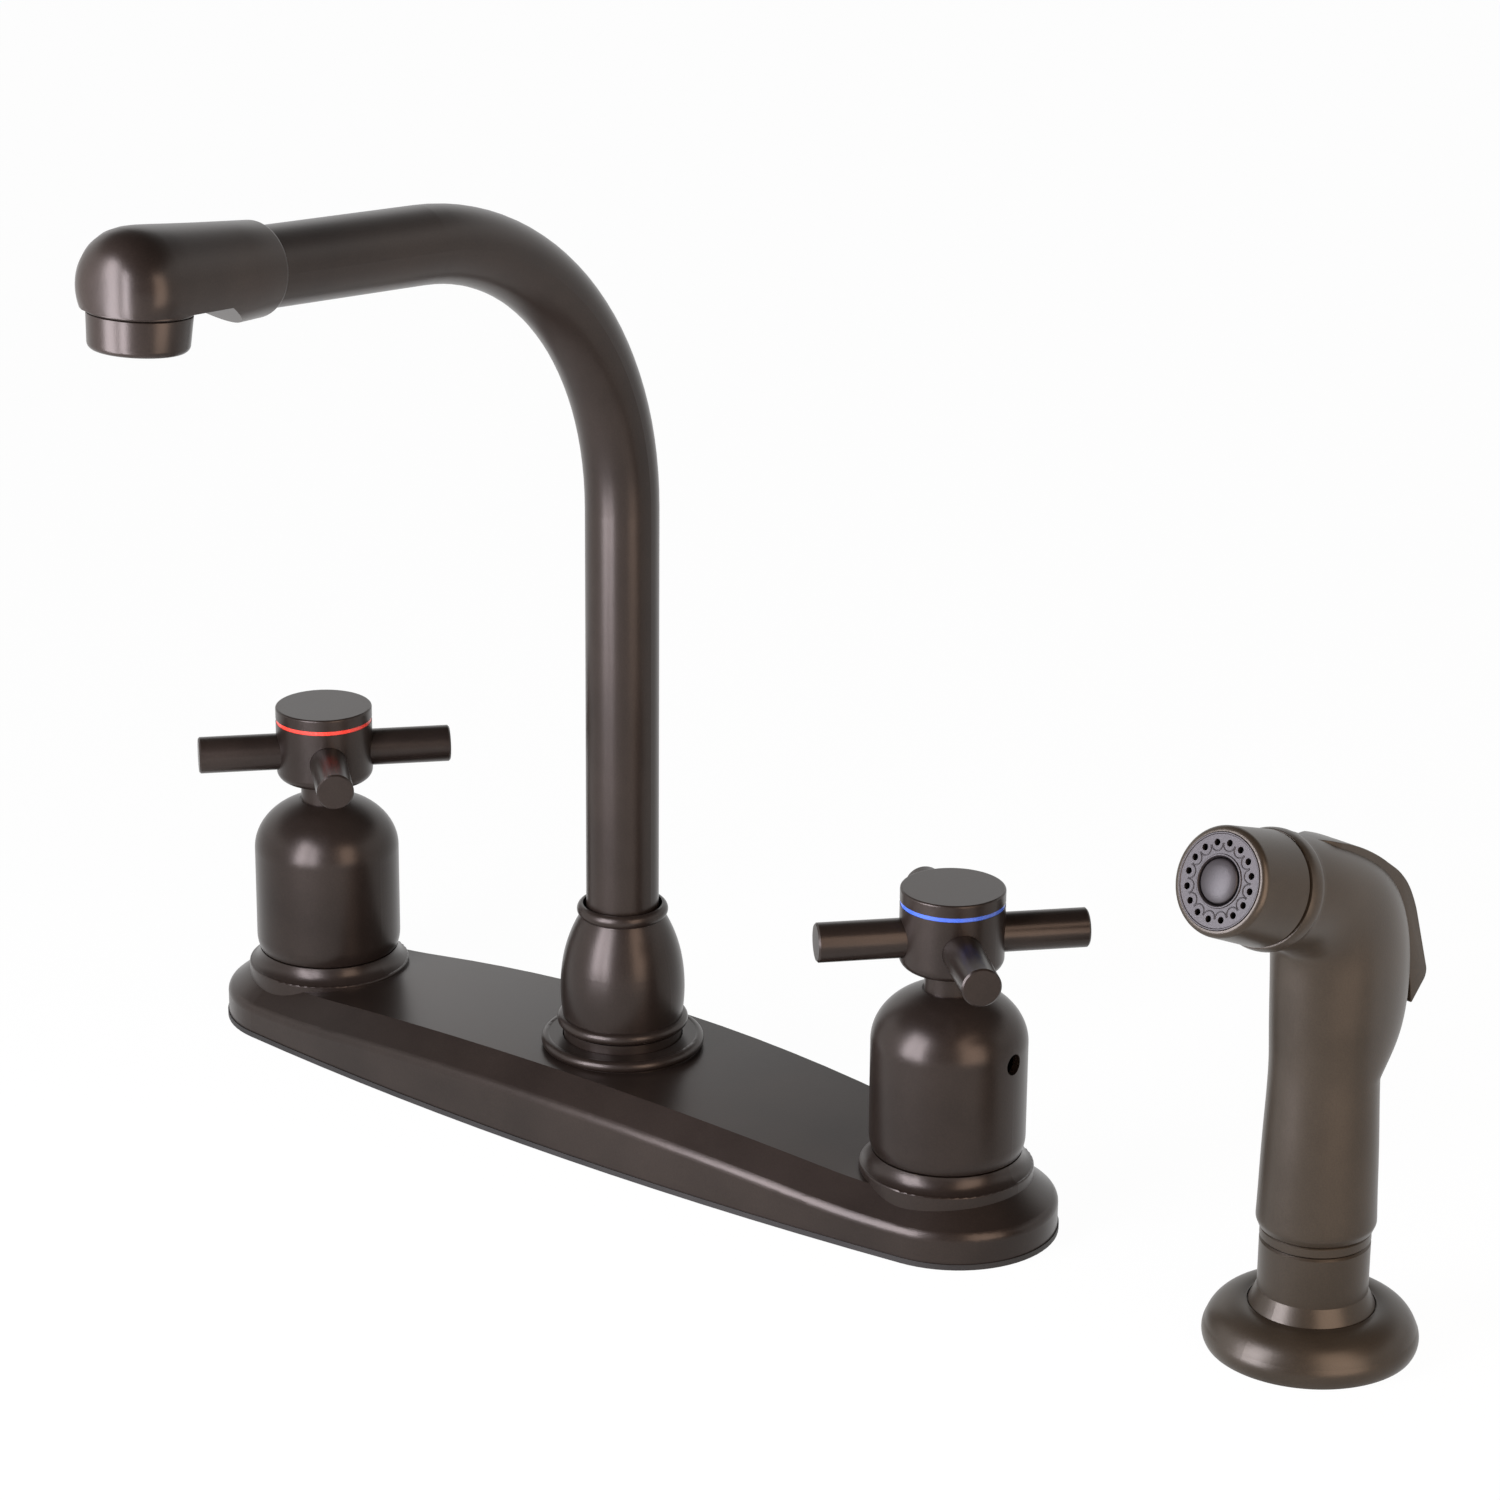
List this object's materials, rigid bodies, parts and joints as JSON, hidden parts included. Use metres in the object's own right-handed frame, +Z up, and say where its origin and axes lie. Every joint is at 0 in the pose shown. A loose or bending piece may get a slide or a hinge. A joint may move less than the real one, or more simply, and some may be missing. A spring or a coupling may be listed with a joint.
{
  "type": "two handle kitchen faucet",
  "caption": "Deck mounted kitchen faucet with cross handles on bells, a high bent swivel spout, an oval deck plate and a separate pull-up side sprayer.",
  "frame": {"origin": "on the top face of the sink deck, midway between the hot and cold handle axes, on the spout axis", "axes": "+Z up; +X towards the cold handle and the sprayer; -Y towards the user, the way the spout points"},
  "size_m": [0.3587, 0.2056, 0.314],
  "materials": {
    "bronze": "satin oil rubbed bronze",
    "bronze_sprayer": "satin bronze coat on moulded plastic",
    "spray_face": "satin",
    "gasket": "moulded",
    "brass": "machined",
    "steel": "plain",
    "ceramic": "lapped ceramic",
    "rubber": "moulded",
    "nylon": "moulded",
    "black_plastic": "moulded",
    "index_red": "enamel",
    "index_blue": "enamel"
  },
  "bodies": {
    "base": {"deck_plate": "bronze", "deck_gasket": "gasket", "centre_post": "brass", "cross_tubes": "brass", "shank_washers": "steel", "shank_locknuts": "brass", "plate_nuts": "brass", "seat_seals": "rubber", "fixed_discs": "ceramic", "spray_outlet": "brass", "diverter": "nylon", "spout_bushing": "nylon", "spout_collar_nut": "bronze", "hot_valve_body": "brass", "cold_valve_body": "brass", "hot_cartridge": "brass", "cold_cartridge": "brass", "sprayer_flange": "bronze_sprayer", "sprayer_holder": "bronze_sprayer", "holder_washer": "rubber", "holder_nut": "black_plastic"},
    "hot_handle": {"hot_stem": "brass", "hot_moving_disc": "ceramic", "hot_bell": "bronze", "hot_set_screw": "steel", "hot_neck": "bronze", "hot_hub": "bronze", "hot_arms": "bronze", "hot_handle_screw": "steel", "hot_index_ring": "index_red", "hot_cap": "bronze"},
    "cold_handle": {"cold_stem": "brass", "cold_moving_disc": "ceramic", "cold_bell": "bronze", "cold_set_screw": "steel", "cold_neck": "bronze", "cold_hub": "bronze", "cold_arms": "bronze", "cold_handle_screw": "steel", "cold_index_ring": "index_blue", "cold_cap": "bronze"},
    "spout": {"spout_tube": "bronze", "spout_o_rings": "rubber", "spout_retaining_ring": "steel", "spout_head": "bronze", "aerator_housing": "bronze", "aerator_insert": "nylon", "aerator_washer": "rubber"},
    "hose_end": {"hose_coupling": "bronze_sprayer", "hose_nipple": "brass"},
    "sprayer": {"sprayer_body": "bronze_sprayer", "nozzle_ring": "bronze_sprayer", "spray_face": "spray_face", "face_cap": "bronze_sprayer", "lever_pin": "steel"},
    "lever": {"thumb_lever": "bronze_sprayer"},
    "valve": {"valve_plunger": "nylon", "valve_spring": "steel"}
  },
  "joints": [
    {"name": "hot_handle_turn", "type": "hinge", "parent": "base", "child": "hot_handle", "pos_m": [-0.1016, 0, 0.03], "axis": [0, 0, 1], "range_deg": [0, 90]},
    {"name": "cold_handle_turn", "type": "hinge", "parent": "base", "child": "cold_handle", "pos_m": [0.1016, 0, 0.03], "axis": [0, 0, 1], "range_deg": [-90, 0]},
    {"name": "spout_swivel", "type": "hinge", "parent": "base", "child": "spout", "pos_m": [0, 0, 0.03], "axis": [0, 0, 1], "continuous": true},
    {"name": "sprayer_lift", "type": "slide", "parent": "base", "child": "hose_end", "axis": [0, 0, 1], "range_m": [0, 0.08]},
    {"name": "sprayer_swivel", "type": "hinge", "parent": "hose_end", "child": "sprayer", "pos_m": [0.204, 0.0019, 0.033], "axis": [0, 0, 1], "continuous": true},
    {"name": "lever_press", "type": "hinge", "parent": "sprayer", "child": "lever", "pos_m": [0.20347, -0.00206, 0.1215], "axis": [-0.9913, 0.1317, 0], "range_deg": [0, 5], "stiffness_Nm_per_rad": 0.5, "springref_deg": -5.73},
    {"name": "valve_stroke", "type": "slide", "parent": "sprayer", "child": "valve", "axis": [0, 0, -1], "range_m": [0, 0.0017], "deforming": ["valve_spring"]}
  ],
  "couplings": [
    {"joint": "valve_stroke", "follows": "lever_press", "m_per_rad": 0.0186}
  ]
}
